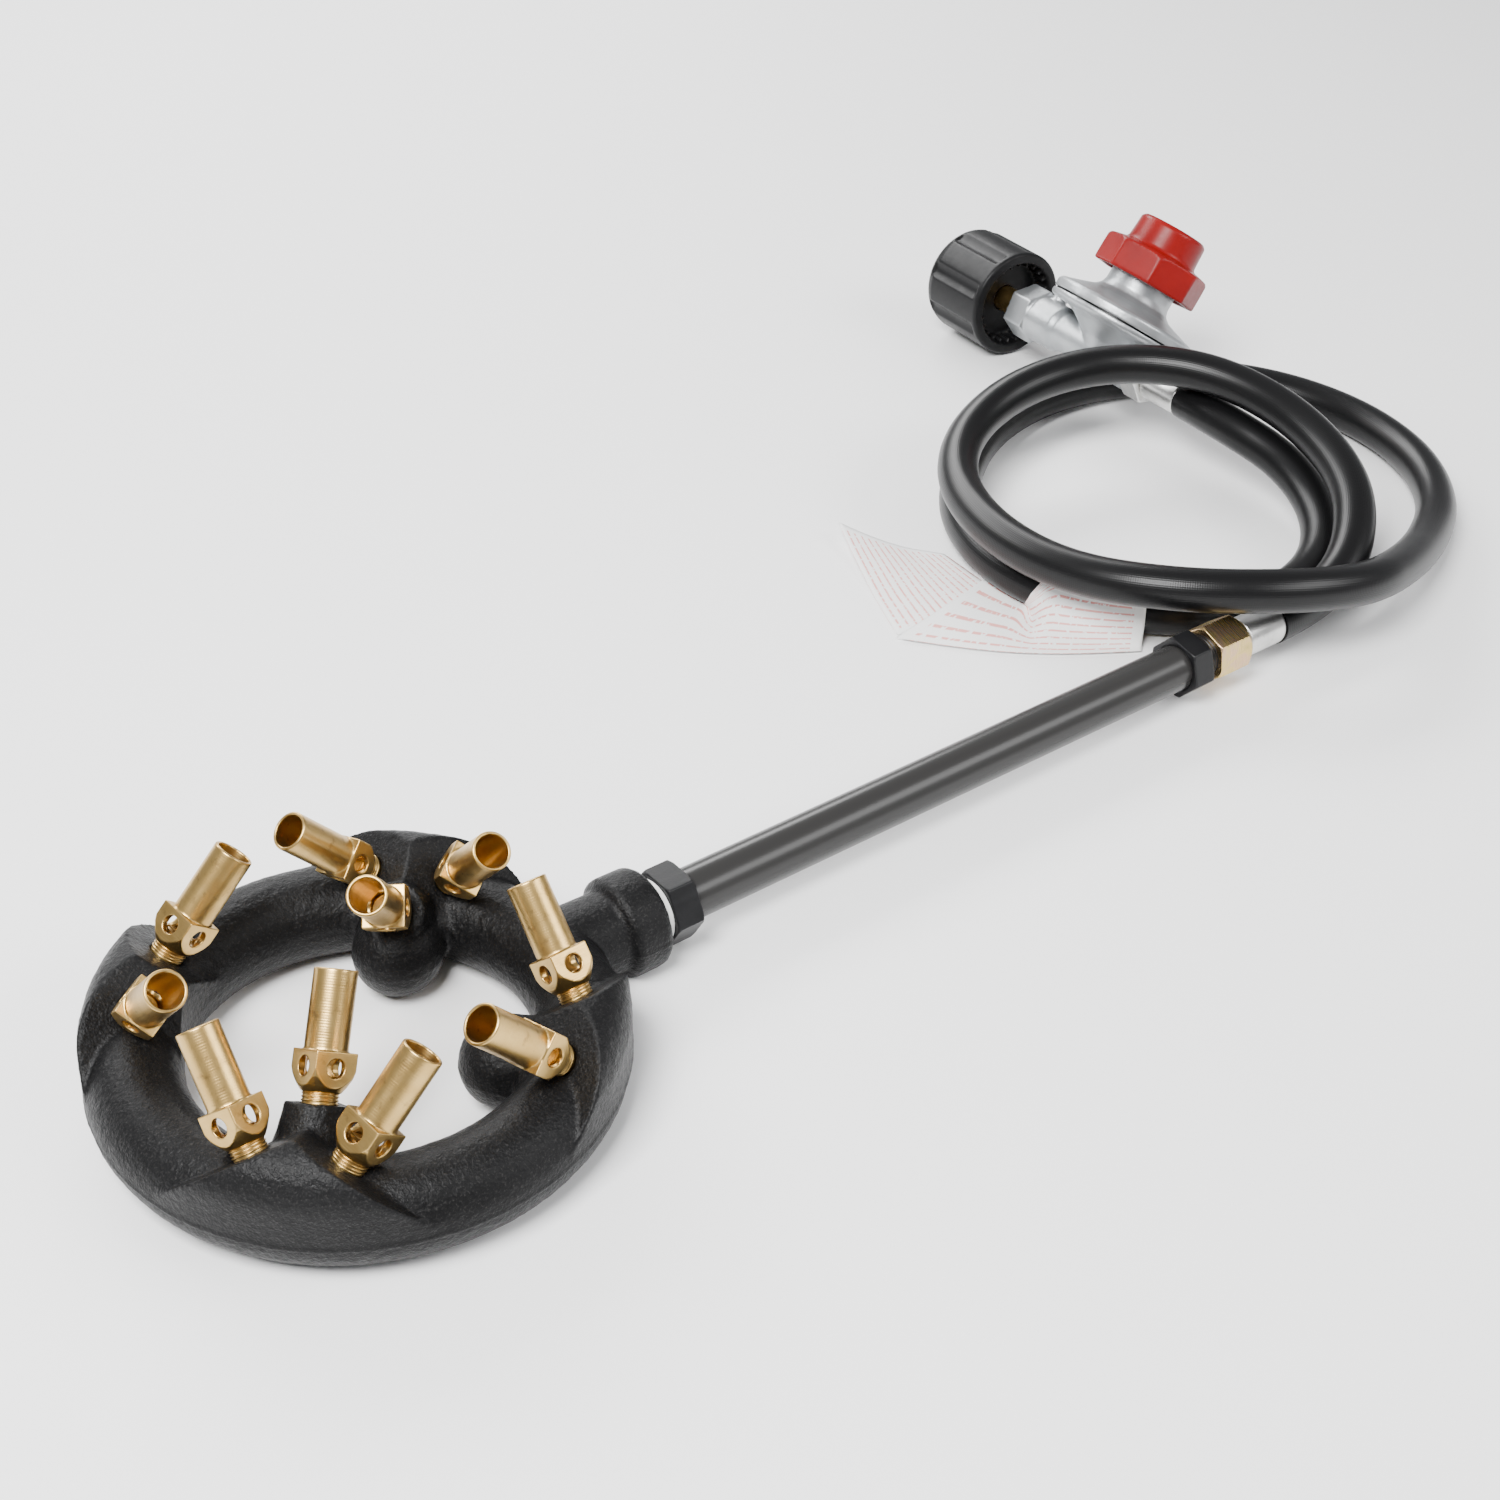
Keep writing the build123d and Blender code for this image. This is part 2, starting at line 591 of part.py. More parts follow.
# ---------------------------------------------------------------- regulator body
rim_low, rim_mid, rim_split, rim_top = 12.4, 14.9, 15.7, 20.6
with BuildPart() as regulator_body:
    with BuildSketch(reg_line):
        with BuildLine():
            Polyline(
                (17, 0), (17, 10.4), (33, 10.4), (36, 8.8), (70, 8.8), (73, 9.6),
                (outlet_boss_end - 0.8, 9.6), (outlet_boss_end, 8.9), (outlet_boss_end, 0),
                close=True)
        make_face()
    revolve(axis=flow_axis)
    with BuildSketch(reg_across.offset(6)):
        RegularPolygon(11, 6, major_radius=False, rotation=10)
    extrude(amount=12)
    with BuildSketch(knob_line):
        with BuildLine():
            Polyline(
                (0, 0), (0, 9.4), (4, 12.4), (9.6, 20.5), (11.0, 24.0), (rim_low - 0.6, 32.2),
                (rim_low, disc_radius - 0.5),
                (rim_low + 0.5, disc_radius), (rim_mid, disc_radius), (rim_mid, 0), close=True)
        make_face()
    revolve(axis=knob_axis)
    with Locations(reg_across.offset(22.5)):
        Cylinder(3.6, 17, rotation=(0, 90, 0), align=(Align.CENTER, Align.CENTER, Align.MIN))
    with BuildSketch(knob_line):
        with BuildLine():
            Polyline(
                (rim_mid, 0), (rim_mid, 28.5), (rim_mid - 1.3, 28.5), (12.2, 18.0), (7.5, 12.0),
                (7.5, 0), close=True)
        make_face()
    revolve(axis=knob_axis, mode=Mode.SUBTRACT)
    with BuildSketch(reg_line):
        with BuildLine():
            Polyline(
                (5, 0), (5, nipple_shaft), (12, nipple_shaft), (12, 3.0), (58, 3.0), (58, 0),
                close=True)
        make_face()
        with BuildLine():
            Polyline(
                (69, 0), (69, 4.5), (outlet_thread_start, 4.5),
                (outlet_thread_start, outlet_thread_radius),
                (outlet_boss_end + 1, outlet_thread_radius), (outlet_boss_end + 1, 0), close=True)
        make_face()
    revolve(axis=flow_axis, mode=Mode.SUBTRACT)
    with Locations(knob_across.offset(-2.0)):
        Cylinder(4.0, 12, align=(Align.CENTER, Align.CENTER, Align.MIN), mode=Mode.SUBTRACT)
        with Locations((10.5, 0)):
            Cylinder(2.4, 12, align=(Align.CENTER, Align.CENTER, Align.MIN), mode=Mode.SUBTRACT)
regulator_body.part.label = "regulator_body"
export_step(regulator_body.part, "parts/regulator_body.step")

with BuildPart() as valve_seat:
    with BuildSketch(knob_line):
        with BuildLine():
            Polyline((-2, 1.2), (-2, 4.0), (6.0, 4.0), (8.2, 2.2), (8.2, 1.2), close=True)
        make_face()
    revolve(axis=knob_axis)
valve_seat.part.label = "valve_seat"
export_step(valve_seat.part, "parts/valve_seat.step")

with BuildPart() as diaphragm:
    with Locations(knob_across.offset(rim_mid)):
        Cylinder(disc_radius - 1.3, rim_split - rim_mid,
                 align=(Align.CENTER, Align.CENTER, Align.MIN))
diaphragm.part.label = "diaphragm"
export_step(diaphragm.part, "parts/diaphragm.step")

plate_top = rim_split + 1.5
with BuildPart() as diaphragm_plate:
    with BuildSketch(knob_line):
        with BuildLine():
            Polyline(
                (rim_split, 0), (rim_split, 11.0), (plate_top, 11.0), (plate_top, 5.6),
                (plate_top + 2, 5.4), (plate_top + 2, 0), close=True)
        make_face()
    revolve(axis=knob_axis)
diaphragm_plate.part.label = "diaphragm_plate"
export_step(diaphragm_plate.part, "parts/diaphragm_plate.step")

bonnet_radius = 15.5
bonnet_shoulder, bonnet_top = 42.0, 46.0
screw_radius = 5.0
with BuildPart() as regulator_bonnet:
    with BuildSketch(knob_line):
        with BuildLine():
            Polyline(
                (rim_split, 28.0), (rim_split, disc_radius), (rim_top - 1.3, disc_radius),
                (rim_top, disc_radius - 1.3), (rim_top + 0.7, 29.5), (23.0, 24.0), (24.8, 18.8),
                (26.8, 16.4), (29.4, bonnet_radius), (bonnet_shoulder - 1, bonnet_radius),
                (bonnet_shoulder, bonnet_radius - 1), (bonnet_shoulder, 9.0), (bonnet_top, 9.0),
                (bonnet_top, screw_radius + 0.05), (39.5, screw_radius + 0.05), (39.5, 12.5),
                (24.0, 12.5), (19.6, 20.0), (17.0, 28.0), close=True)
        make_face()
    revolve(axis=knob_axis)
    with Locations(knob_across.offset(19.0)):
        with Locations((-23.5, 0)):
            Cylinder(1.3, 11, mode=Mode.SUBTRACT)
regulator_bonnet.part.label = "regulator_bonnet"
export_step(regulator_bonnet.part, "parts/regulator_bonnet.step")

button_low, button_top = 33.0, 36.5
spring_wire = 1.1
spring_turns = 5
spring_height = button_low - plate_top
spring_rise = spring_height - 2 * spring_wire - 0.3
with BuildPart() as spring_coil:
    with BuildLine() as spring_path:
        Helix(pitch=spring_rise / spring_turns, height=spring_rise, radius=8.0)
    with BuildSketch(Plane(origin=spring_path.line @ 0, z_dir=spring_path.line % 0)):
        Circle(spring_wire)
    sweep(is_frenet=True)

with BuildPart() as regulating_spring:
    with Locations(knob_across.offset(plate_top + spring_wire + 0.15)):
        add(spring_coil.part)
regulating_spring.part.label = "regulating_spring"
export_step(regulating_spring.part, "parts/regulating_spring.step")

with BuildPart() as spring_button:
    with Locations(knob_across.offset(button_low)):
        Cylinder(10.2, button_top - button_low, align=(Align.CENTER, Align.CENTER, Align.MIN))
spring_button.part.label = "spring_button"
export_step(spring_button.part, "parts/spring_button.step")

knob_rim, knob_top = 34.3, 61.3
screw_top = 56.0
with BuildPart() as adjusting_screw:
    with Locations(knob_across.offset(button_top + 0.05)):
        Cylinder(screw_radius, screw_top - button_top - 0.05,
                 align=(Align.CENTER, Align.CENTER, Align.MIN))
adjusting_screw.part.label = "adjusting_screw"
export_step(adjusting_screw.part, "parts/adjusting_screw.step")

knob_sides, knob_corner = 8, 24.9
with BuildPart() as adjusting_knob:
    with BuildSketch(knob_line):
        with BuildLine():
            Polyline(
                (knob_rim, 21.0), (knob_rim, 24.4), (knob_rim + 0.7, 25.0), (46.4, 24.6),
                (47.6, 23.6), (49.0, 17.2), (49.8, 16.4), (knob_top - 1.4, 15.8),
                (knob_top, 14.2), (knob_top, 0), (screw_top, 0), (screw_top, screw_radius),
                (50.0, screw_radius), (50.0, 11.0), (46.2, 11.0), (46.2, 20.6), close=True)
        make_face()
    revolve(axis=knob_axis)
    with BuildSketch(knob_across.offset(knob_rim - 1)):
        RegularPolygon(knob_corner, knob_sides)
    extrude(amount=knob_top - knob_rim + 2, mode=Mode.INTERSECT)
adjusting_knob.part.label = "adjusting_knob"
export_step(adjusting_knob.part, "parts/adjusting_knob.step")
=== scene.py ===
from math import cos, pi, radians, sin, tau

import bmesh
import bpy
from mathutils import Matrix, Vector, noise


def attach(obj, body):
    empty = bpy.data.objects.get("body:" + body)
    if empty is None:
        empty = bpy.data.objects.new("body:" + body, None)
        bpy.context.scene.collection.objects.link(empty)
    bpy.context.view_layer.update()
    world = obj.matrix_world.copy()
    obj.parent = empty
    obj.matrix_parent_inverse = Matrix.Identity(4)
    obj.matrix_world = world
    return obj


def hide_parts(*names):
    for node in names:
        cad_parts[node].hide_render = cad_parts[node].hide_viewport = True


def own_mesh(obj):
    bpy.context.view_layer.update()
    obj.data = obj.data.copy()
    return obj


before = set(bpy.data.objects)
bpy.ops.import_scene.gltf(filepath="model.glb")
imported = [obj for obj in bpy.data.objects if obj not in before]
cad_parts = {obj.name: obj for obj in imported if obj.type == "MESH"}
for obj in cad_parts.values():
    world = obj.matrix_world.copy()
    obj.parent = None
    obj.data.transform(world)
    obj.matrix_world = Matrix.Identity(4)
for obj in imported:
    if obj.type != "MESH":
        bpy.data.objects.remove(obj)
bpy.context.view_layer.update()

# ---------------------------------------------------------------- sizes shared with the CAD model, in metres
AXIS_HEIGHT = 0.0136
HOSE_RADIUS = 0.00825
FLOOR_LINE = HOSE_RADIUS + 0.00035
WEAVE_ALONG, WEAVE_AROUND = 830, 32      # cords of the hose's woven mark, along it and around it
JET_LEAN, JET_SWING = radians(43), radians(44.5)
OUTER_BASE, INNER_BASE = (0.0586, 0.0144, 0.0311), (0.0383, 0.0, 0.0322)
# station angle, side of the station (0 = the inner jet), turn of the square block
JETS = [
    (135, -1, 12), (135, 1, 30), (45, 1, 20), (45, 0, 8), (45, -1, 38),
    (315, 1, 5), (315, -1, 15), (225, 0, 45), (225, -1, 25), (225, 1, 10),
]


def matrix_from(origin, x_dir, z_dir):
    """Matrix of a frame given by its origin and two directions at right angles."""
    x, z = Vector(x_dir).normalized(), Vector(z_dir).normalized()
    turned = Matrix((x, z.cross(x), z)).transposed().to_4x4()
    return Matrix.Translation(Vector(origin)) @ turned


# regulator: flow runs from the cylinder to the hose, knob_dir up through the knob
pitch, heading, lean = radians(1.23), radians(-95.6), radians(34)
flow = Vector((cos(heading) * cos(pitch), sin(heading) * cos(pitch), sin(pitch)))
level = flow.cross(Vector((0, 0, 1))).normalized()
knob_dir = level.cross(flow) * cos(lean) - level * sin(lean)
reg_origin = Vector((0.4910, 0.2442, 0.0243 * cos(pitch) + 0.036 * sin(pitch) + 0.00002))
knob_origin = reg_origin + flow * 0.0614
FLOW_FRAME = matrix_from(reg_origin, knob_dir, flow)
KNOB_FRAME = matrix_from(knob_origin, flow, knob_dir)
PIPE_FRAME = matrix_from((0, 0, AXIS_HEIGHT), (0, 1, 0), (1, 0, 0))
HOSE_END = reg_origin + flow * 0.1163

# ---------------------------------------------------------------- camera
CAMERA_PLACE = Vector((-0.2210, -0.4354, 0.4623))
cam_turn, cam_dip, cam_roll = radians(50.376), radians(35.469), radians(2.316)
forward = Vector((cos(cam_turn) * cos(cam_dip), sin(cam_turn) * cos(cam_dip), -sin(cam_dip)))
right = forward.cross(Vector((0, 0, 1))).normalized()
up = right.cross(forward)
camera_data = bpy.data.cameras.new("camera")
camera_data.lens = 54.40
camera_data.sensor_width = 36.0
camera_data.clip_start = 0.01
camera = bpy.data.objects.new("camera", camera_data)
bpy.context.scene.collection.objects.link(camera)
camera.matrix_world = matrix_from(
    CAMERA_PLACE, right * cos(cam_roll) + up * sin(cam_roll), -forward)
bpy.context.scene.camera = camera


# ---------------------------------------------------------------- materials
class Shade:
    """One material, with short calls for the nodes it is made of."""

    def __init__(self, name, colour, roughness, metallic=0.0, **sockets):
        self.material = bpy.data.materials.new(name)
        self.material.use_nodes = True
        self.tree = self.material.node_tree
        self.shader = self.tree.nodes["Principled BSDF"]
        self.shader.inputs["Base Color"].default_value = (*colour, 1)
        self.shader.inputs["Roughness"].default_value = roughness
        self.shader.inputs["Metallic"].default_value = metallic
        for socket, value in sockets.items():
            self.shader.inputs[socket.replace("_", " ")].default_value = value
        own_place = self.node("ShaderNodeAttribute")
        own_place.attribute_name = "own_place"
        self.place = self.blend(
            own_place.outputs["Alpha"], self.node("ShaderNodeTexCoord").outputs["Object"],
            own_place.outputs["Vector"])

    def node(self, kind):
        return self.tree.nodes.new(kind)

    def link(self, output, target):
        self.tree.links.new(output, target)

    def stretched(self, scale):
        """The piece's own coordinates, scaled along each axis."""
        mapping = self.node("ShaderNodeMapping")
        mapping.inputs["Scale"].default_value = scale
        self.link(self.place, mapping.inputs["Vector"])
        return mapping.outputs["Vector"]

    def grain(self, scale, detail=4.0, roughness=0.55, stretch=(1, 1, 1), distortion=0.0):
        grain = self.node("ShaderNodeTexNoise")
        grain.inputs["Scale"].default_value = scale
        grain.inputs["Detail"].default_value = detail
        grain.inputs["Roughness"].default_value = roughness
        grain.inputs["Distortion"].default_value = distortion
        self.link(self.stretched(stretch), grain.inputs["Vector"])
        return grain.outputs["Fac"]

    def pits(self, scale, stretch=(1, 1, 1)):
        cells = self.node("ShaderNodeTexVoronoi")
        cells.inputs["Scale"].default_value = scale
        self.link(self.stretched(stretch), cells.inputs["Vector"])
        return cells.outputs["Distance"]

    def bands(self, scale, axis="Z", distortion=0.0):
        wave = self.node("ShaderNodeTexWave")
        wave.bands_direction = axis
        wave.inputs["Scale"].default_value = scale
        wave.inputs["Distortion"].default_value = distortion
        self.link(self.place, wave.inputs["Vector"])
        return wave.outputs["Fac"]

    def ramp(self, factor, *stops):
        """A colour ramp; each stop is (position, grey or colour)."""
        ramp = self.node("ShaderNodeValToRGB")
        elements = ramp.color_ramp.elements
        while len(elements) < len(stops):
            elements.new(0.5)
        for element, (position, value) in zip(elements, stops):
            element.position = position
            colour = (value, value, value) if isinstance(value, (int, float)) else value
            element.color = (*colour, 1)
        self.link(factor, ramp.inputs["Fac"])
        return ramp.outputs["Color"]

    def blend(self, factor, first, second):
        """From the first colour to the second as the factor goes from 0 to 1."""
        mix = self.node("ShaderNodeMix")
        mix.data_type = "RGBA"
        for value, target in ((factor, mix.inputs[0]), (first, mix.inputs[6]), (second, mix.inputs[7])):
            if isinstance(value, bpy.types.NodeSocket):
                self.link(value, target)
            else:
                target.default_value = value if isinstance(value, (int, float)) else (*value, 1)
        return mix.outputs[2]

    def maths(self, operation, first, second):
        step = self.node("ShaderNodeMath")
        step.operation = operation
        for value, target in ((first, step.inputs[0]), (second, step.inputs[1])):
            if isinstance(value, bpy.types.NodeSocket):
                self.link(value, target)
            else:
                target.default_value = value
        return step.outputs[0]

    def worn_edges(self, low=0.52, high=0.60):
        """White along outer edges, for wear."""
        return self.ramp(self.node("ShaderNodeNewGeometry").outputs["Pointiness"], (low, 0), (high, 1))

    def colour(self, output):
        self.link(output, self.shader.inputs["Base Color"])

    def gloss(self, factor, low, high):
        """Roughness that follows the factor between two values."""
        spread = self.node("ShaderNodeMapRange")
        spread.inputs["To Min"].default_value = low
        spread.inputs["To Max"].default_value = high
        self.link(factor, spread.inputs["Value"])
        self.link(spread.outputs["Result"], self.shader.inputs["Roughness"])

    def relief(self, height, distance, strength=1.0):
        """Bump, added to any bump the material has already."""
        bump = self.node("ShaderNodeBump")
        bump.inputs["Strength"].default_value = strength
        bump.inputs["Distance"].default_value = distance
        self.link(height, bump.inputs["Height"])
        earlier = self.shader.inputs["Normal"].links
        if earlier:
            self.link(earlier[0].from_socket, bump.inputs["Normal"])
        self.link(bump.outputs["Normal"], self.shader.inputs["Normal"])


def make_cast_iron():
    s = Shade("cast_iron", (0.004, 0.004, 0.004), 0.5, Specular_IOR_Level=0.16)
    patches = s.grain(26, detail=6)
    speckle = s.grain(1500, detail=2)
    tone = s.ramp(patches, (0.3, (0.0022, 0.0022, 0.0024)), (0.7, (0.0055, 0.0055, 0.0058)))
    tone = s.blend(s.ramp(speckle, (0.56, 0), (0.76, 0.6)), tone, (0.035, 0.033, 0.032))
    s.colour(s.blend(s.worn_edges(0.55, 0.66), tone, (0.016, 0.015, 0.015)))
    s.gloss(s.grain(700, detail=3), 0.26, 0.62)
    s.relief(s.pits(620), 0.00022, 0.7)
    s.relief(speckle, 0.00030, 0.8)
    return s.material


def make_brass():
    s = Shade("brass", (0.80, 0.66, 0.40), 0.28, metallic=1.0)
    clouds = s.grain(140, detail=6, distortion=0.4)
    tone = s.ramp(clouds, (0.3, (0.62, 0.42, 0.155)), (0.72, (0.50, 0.32, 0.105)))
    stain = s.ramp(s.grain(420, detail=6), (0.60, 0), (0.80, 0.75))
    s.colour(s.blend(stain, tone, (0.25, 0.15, 0.06)))
    lines = s.grain(300, detail=5, stretch=(0.03, 0.03, 6))
    s.gloss(lines, 0.22, 0.42)
    s.relief(lines, 0.00006, 0.5)
    s.relief(s.bands(420), 0.00002, 0.5)
    return s.material


def make_dark_steel(name, colour, roughness, metallic, shine):
    s = Shade(name, colour, roughness, metallic=metallic, Specular_IOR_Level=shine)
    patches = s.grain(60, detail=6)
    lighter = tuple(c * 1.6 + 0.001 for c in colour)
    tone = s.ramp(patches, (0.35, colour), (0.75, lighter))
    s.colour(s.blend(s.worn_edges(0.56, 0.66), tone, (0.03, 0.029, 0.028)))
    streaks = s.grain(500, detail=4, stretch=(1, 1, 0.05))
    s.gloss(streaks, roughness - 0.07, roughness + 0.12)
    s.relief(streaks, 0.00005, 0.5)
    s.relief(s.grain(1300, detail=2), 0.00005, 0.5)
    return s.material


def make_yellow_zinc():
    s = Shade("yellow_zinc", (0.72, 0.62, 0.36), 0.26, metallic=1.0)
    clouds = s.grain(110, detail=5, distortion=1.2)
    s.colour(s.ramp(
        clouds, (0.25, (0.52, 0.40, 0.15)), (0.45, (0.70, 0.52, 0.22)),
        (0.60, (0.66, 0.44, 0.28)), (0.8, (0.52, 0.52, 0.24))))
    lines = s.grain(260, detail=5, stretch=(0.04, 0.04, 6))
    s.gloss(lines, 0.18, 0.38)
    s.relief(lines, 0.00006, 0.5)
    return s.material


def make_bright_steel():
    s = Shade("bright_steel", (0.72, 0.72, 0.70), 0.3, metallic=1.0)
    tone = s.ramp(s.grain(130, detail=6), (0.3, (0.60, 0.60, 0.585)), (0.7, (0.80, 0.79, 0.77)))
    s.colour(s.blend(s.ramp(s.grain(500, detail=5), (0.58, 0), (0.78, 0.5)), tone, (0.38, 0.36, 0.33)))
    lines = s.grain(300, detail=5, stretch=(0.04, 0.04, 6))
    s.gloss(lines, 0.22, 0.42)
    s.relief(lines, 0.00006, 0.5)
    return s.material


def make_zinc_casting():
    s = Shade("zinc_casting", (0.62, 0.63, 0.64), 0.4, metallic=0.8)
    clouds = s.grain(45, detail=6)
    tone = s.ramp(clouds, (0.3, (0.34, 0.36, 0.37)), (0.7, (0.50, 0.51, 0.52)))
    s.colour(s.blend(s.worn_edges(0.53, 0.60), tone, (0.62, 0.62, 0.62)))
    s.gloss(s.grain(260, detail=5), 0.30, 0.50)
    s.relief(s.grain(700, detail=4), 0.00012, 0.5)
    s.relief(s.grain(90, detail=3), 0.0003, 0.3)
    return s.material


def make_rubber():
    s = Shade("hose_rubber", (0.004, 0.004, 0.004), 0.3, Specular_IOR_Level=0.26)
    bloom = s.grain(36, detail=6)
    s.colour(s.ramp(bloom, (0.35, (0.0028, 0.0028, 0.003)), (0.75, (0.006, 0.006, 0.0064))))
    s.gloss(s.grain(120, detail=5), 0.22, 0.40)
    s.relief(s.grain(300, detail=4), 0.0002, 0.35)
    split = s.node("ShaderNodeSeparateXYZ")
    s.link(s.node("ShaderNodeTexCoord").outputs["UV"], split.inputs["Vector"])
    along = s.maths("MULTIPLY", split.outputs["X"], tau * WEAVE_ALONG)
    around = s.maths("MULTIPLY", split.outputs["Y"], tau * WEAVE_AROUND)
    first = s.maths("SINE", s.maths("ADD", along, around), 0.0)
    second = s.maths("SINE", s.maths("SUBTRACT", along, around), 0.0)
    s.relief(s.maths("MULTIPLY", first, second), 0.00005, 0.35)
    return s.material


def make_plastic(name, dark, light, roughness, grain_depth):
    s = Shade(name, light, roughness, Specular_IOR_Level=0.20)
    tone = s.ramp(s.grain(55, detail=5), (0.3, dark), (0.7, light))
    scuffed = tuple(c * 1.5 + 0.006 for c in light)
    s.colour(s.blend(s.worn_edges(0.53, 0.62), tone, scuffed))
    s.gloss(s.grain(340, detail=5), roughness - 0.07, roughness + 0.12)
    s.relief(s.grain(1600, detail=2), grain_depth, 0.5)
    s.relief(s.grain(80, detail=3), 0.0002, 0.25)
    return s.material


def make_tape():
    s = Shade("ptfe_tape", (0.88, 0.88, 0.86), 0.55, Specular_IOR_Level=0.35)
    strands = s.grain(700, detail=4, stretch=(0.6, 0.6, 5))
    s.colour(s.ramp(strands, (0.3, (0.70, 0.70, 0.68)), (0.6, (0.92, 0.92, 0.90))))
    s.relief(strands, 0.0003, 0.8)
    return s.material


def make_tag():
    """White label stock with faint broken rules, in place of any printing."""
    s = Shade("tag_stock", (0.92, 0.92, 0.91), 0.5, Specular_IOR_Level=0.4)
    sheet = s.node("ShaderNodeUVMap")
    sheet.uv_map = "sheet"
    split = s.node("ShaderNodeSeparateXYZ")
    s.link(sheet.outputs["UV"], split.inputs["Vector"])
    along, across = split.outputs["X"], split.outputs["Y"]
    rows = s.maths("FRACT", s.maths("MULTIPLY", across, 15.0), 0.0)
    rule = s.maths("LESS_THAN", rows, 0.26)
    inside = s.maths("MULTIPLY", s.maths("GREATER_THAN", along, 0.05), s.maths("LESS_THAN", along, 0.95))
    dashes = s.node("ShaderNodeTexNoise")
    dashes.inputs["Scale"].default_value = 1.0
    spread = s.node("ShaderNodeMapping")
    spread.inputs["Scale"].default_value = (44, 15, 1)
    s.link(sheet.outputs["UV"], spread.inputs["Vector"])
    s.link(spread.outputs["Vector"], dashes.inputs["Vector"])
    gaps = s.maths("GREATER_THAN", dashes.outputs["Fac"], 0.44)
    ink = s.maths("MULTIPLY", s.maths("MULTIPLY", rule, inside), s.maths("MULTIPLY", gaps, 0.8))
    s.colour(s.blend(ink, (0.90, 0.90, 0.89), (0.75, 0.22, 0.18)))
    s.relief(s.grain(500, detail=4), 0.00008, 0.4)
    return s.material


CAST_IRON = make_cast_iron()
BRASS = make_brass()
BLACK_STEEL = make_dark_steel("black_steel", (0.005, 0.005, 0.0055), 0.32, 0.0, 0.28)
PIPE_LACQUER = make_dark_steel("pipe_lacquer", (0.004, 0.004, 0.0043), 0.24, 0.0, 0.28)
YELLOW_ZINC = make_yellow_zinc()
BRIGHT_STEEL = make_bright_steel()
ZINC_CASTING = make_zinc_casting()
RUBBER = make_rubber()
RED_PLASTIC = make_plastic("red_plastic", (0.17, 0.003, 0.003), (0.235, 0.005, 0.0045), 0.32, 0.00004)
BLACK_PLASTIC = make_plastic("black_plastic", (0.003, 0.003, 0.0033), (0.0065, 0.0065, 0.007), 0.38, 0.00006)
TAPE = make_tape()
TAG_STOCK = make_tag()


def paint(piece, material):
    piece.data.materials.clear()
    piece.data.materials.append(material)
    return piece


# ---------------------------------------------------------------- hose
HOSE_ROUTE = [
    (0.391, 0, 0.0136), (0.417, 0, 0.0136), (0.447, 0.008, 0.0216), (0.474, 0.033, 0.033),
    (0.487, 0.076, 0.0407), (0.480, 0.118, 0.0458), (0.455, 0.150, 0.044), (0.419, 0.165, 0.038),
    (0.380, 0.159, 0.0306), (0.350, 0.134, 0.0264), (0.335, 0.095, 0.026), (0.334, 0.054, 0.0285),
    (0.350, 0.017, 0.034), (0.381, -0.009, 0.035), (0.419, -0.018, 0.029), (0.456, -0.009, 0.0205),
    (0.493, 0.006, 0.0125), (0.527, 0.026, 0.009), (0.552, 0.057, FLOOR_LINE),
    (0.562, 0.096, FLOOR_LINE), (0.555, 0.136, FLOOR_LINE), (0.532, 0.168, FLOOR_LINE),
    (0.496, 0.187, FLOOR_LINE), (0.457, 0.192, FLOOR_LINE), (0.418, 0.183, FLOOR_LINE),
    (0.384, 0.163, FLOOR_LINE), (0.354, 0.134, FLOOR_LINE), (0.340, 0.095, FLOOR_LINE),
    (0.347, 0.056, FLOOR_LINE), (0.374, 0.027, FLOOR_LINE), (0.411, 0.015, FLOOR_LINE),
    (0.447, 0.023, FLOOR_LINE), (0.472, 0.043, 0.0134), (0.482, 0.072, 0.0216),
    tuple(HOSE_END + flow * 0.023), tuple(HOSE_END),
]


def route_curve(name, points, radius):
    """A round hose along a quadratic NURBS line that starts and ends at its end points."""
    curve = bpy.data.curves.new(name, "CURVE")
    curve.dimensions = "3D"
    spline = curve.splines.new("NURBS")
    spline.points.add(len(points) - 1)
    for point, place in zip(spline.points, points):
        point.co = (*place, 1)
    spline.order_u = 3
    spline.use_endpoint_u = True
    curve.resolution_u = 16
    curve.bevel_depth = radius
    curve.bevel_resolution = 10
    curve.use_fill_caps = radius > 0
    piece = bpy.data.objects.new(name, curve)
    bpy.context.scene.collection.objects.link(piece)
    return piece


hose = paint(route_curve("gas_hose", HOSE_ROUTE, HOSE_RADIUS), RUBBER)
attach(hose, "burner")
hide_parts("hose")


# ---------------------------------------------------------------- mesh helpers
def new_piece(name, mesh, matrix, material, body="burner"):
    """A piece whose mesh is placed by the matrix and keeps its own coordinates for the material."""
    own = mesh.attributes.new("own_place", "FLOAT_VECTOR", "POINT")
    own.data.foreach_set("vector", [number for vertex in mesh.vertices for number in vertex.co])
    mesh.transform(matrix)
    piece = bpy.data.objects.new(name, mesh)
    bpy.context.scene.collection.objects.link(piece)
    paint(piece, material)
    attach(piece, body)
    return piece


def local_copy(node, matrix):
    """A CAD node's mesh with its split points joined, in the coordinates of the given frame."""
    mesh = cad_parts[node].data.copy()
    mesh.transform(matrix.inverted())
    work = bmesh.new()
    work.from_mesh(mesh)
    bmesh.ops.remove_doubles(work, verts=work.verts, dist=1e-6)
    work.to_mesh(mesh)
    work.free()
    return mesh


